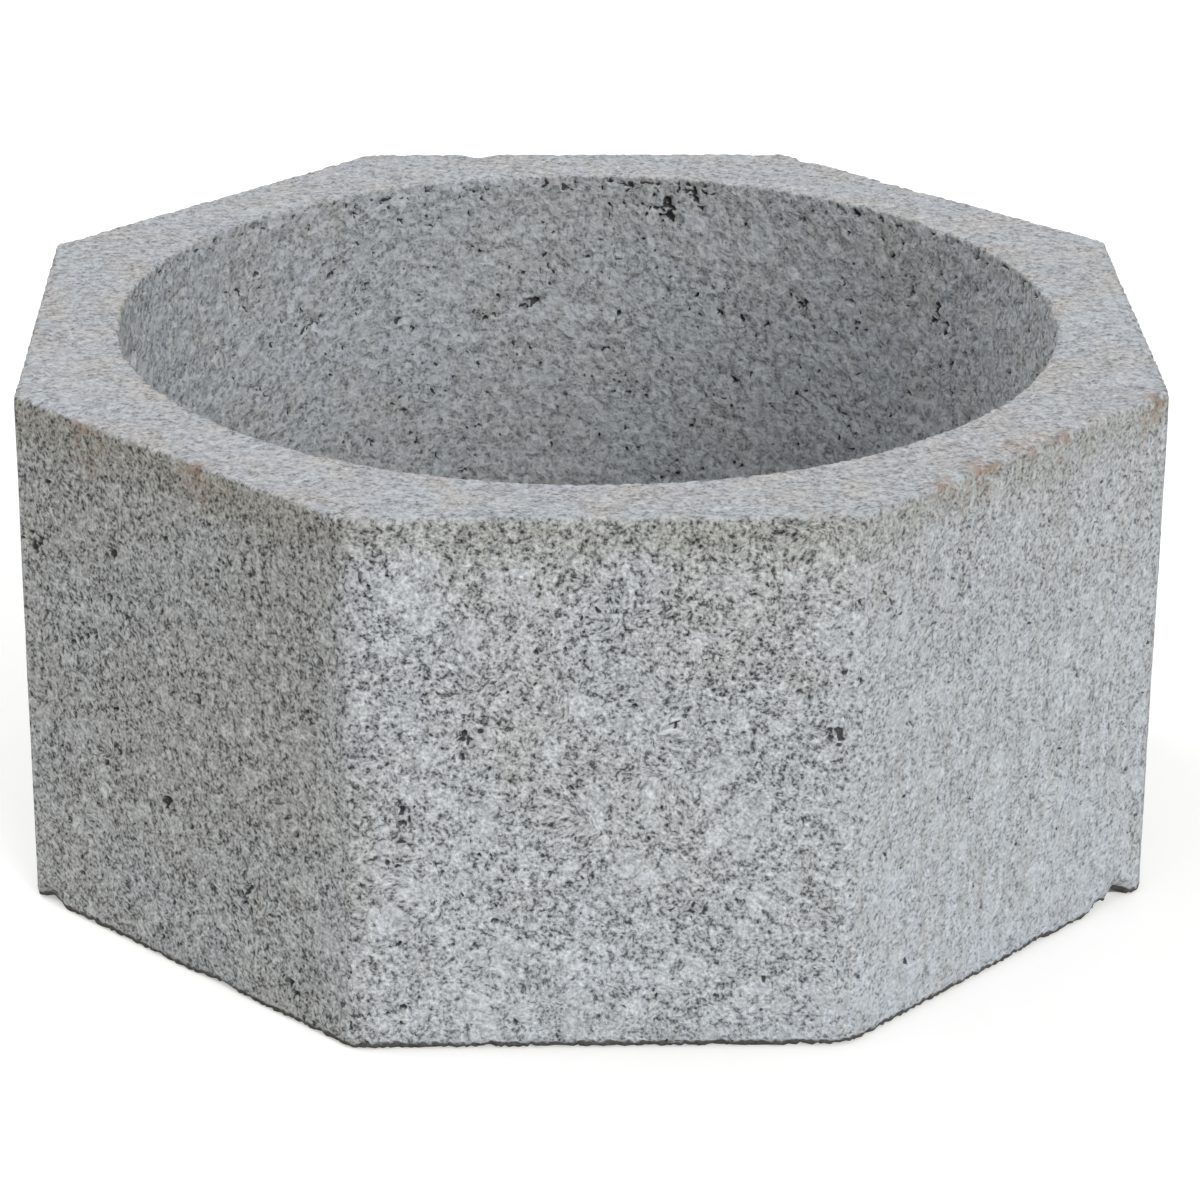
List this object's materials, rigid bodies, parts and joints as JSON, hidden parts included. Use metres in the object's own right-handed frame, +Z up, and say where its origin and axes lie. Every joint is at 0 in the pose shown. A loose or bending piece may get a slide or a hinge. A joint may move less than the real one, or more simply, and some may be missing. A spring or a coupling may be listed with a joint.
{
  "type": "chimney flue liner",
  "caption": "Cast lightweight concrete chimney flue liner, octagonal outside with a round flue bored straight through, stacked course on course inside a chimney.",
  "frame": {"origin": "centre of the flue on the lower bed face", "axes": "+Z up the flue; X and Y square to two pairs of the eight outside faces, with the face that the picture shows in front facing -Y"},
  "size_m": [0.406, 0.406, 0.196],
  "materials": {
    "porous_concrete": "light grey porous aggregate concrete, open pitted on the mould faces and smoother on the bed faces"
  },
  "bodies": {
    "root": {"flue_liner": "porous_concrete"}
  },
  "joints": []
}
